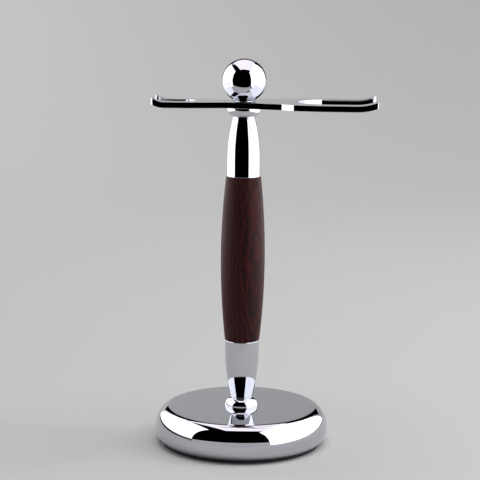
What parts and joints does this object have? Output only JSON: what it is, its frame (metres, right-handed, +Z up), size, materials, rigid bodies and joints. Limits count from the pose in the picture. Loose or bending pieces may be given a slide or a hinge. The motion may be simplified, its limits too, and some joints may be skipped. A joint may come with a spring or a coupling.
{
  "type": "shaving stand",
  "caption": "Counter stand for a safety razor and a shaving brush: weighted chrome base, turned wood handle, forked holder plate and ball finial.",
  "frame": {"origin": "centre of the foot pad's lower face, where the stem's axis meets the counter", "axes": "+Z up the stem, +X towards the wide brush fork, -X towards the narrow razor fork, -Y to the front"},
  "size_m": [0.1008, 0.08, 0.1775],
  "materials": {
    "chrome": "mirror polished plating",
    "laminated_wood": "satin, dark red and black laminations",
    "pad_rubber": "matt foam rubber",
    "zinc_steel": "zinc plated",
    "cast_iron": "as cast",
    "nylon": "natural nylon"
  },
  "bodies": {
    "stem": {"foot_pad": "pad_rubber", "base_cover": "zinc_steel", "base_weight": "cast_iron", "base_shell": "chrome", "base_bolt": "zinc_steel", "bolt_lock_washer": "zinc_steel", "bolt_flat_washer": "zinc_steel", "lower_collar": "chrome", "lower_ferrule": "chrome", "handle": "laminated_wood", "tie_rod": "zinc_steel", "upper_ferrule": "chrome", "upper_collar": "chrome", "friction_washer": "nylon"},
    "holder": {"holder_plate": "chrome"},
    "finial_carrier": {"finial_washer": "zinc_steel"},
    "finial": {"finial_ball": "chrome", "finial_stud": "zinc_steel"}
  },
  "joints": [
    {"name": "holder_swivel", "type": "hinge", "parent": "stem", "child": "holder", "pos_m": [0, 0, 0.1556], "axis": [0, 0, 1], "continuous": true},
    {"name": "finial_lift", "type": "slide", "parent": "stem", "child": "finial_carrier", "axis": [0, 0, 1], "range_m": [0, 0.008]},
    {"name": "finial_turn", "type": "hinge", "parent": "finial_carrier", "child": "finial", "pos_m": [0, 0, 0.1585], "axis": [0, 0, 1], "range_deg": [0, 3640]}
  ],
  "couplings": [
    {"joint": "finial_turn", "follows": "finial_lift", "rad_per_m": 7854}
  ]
}
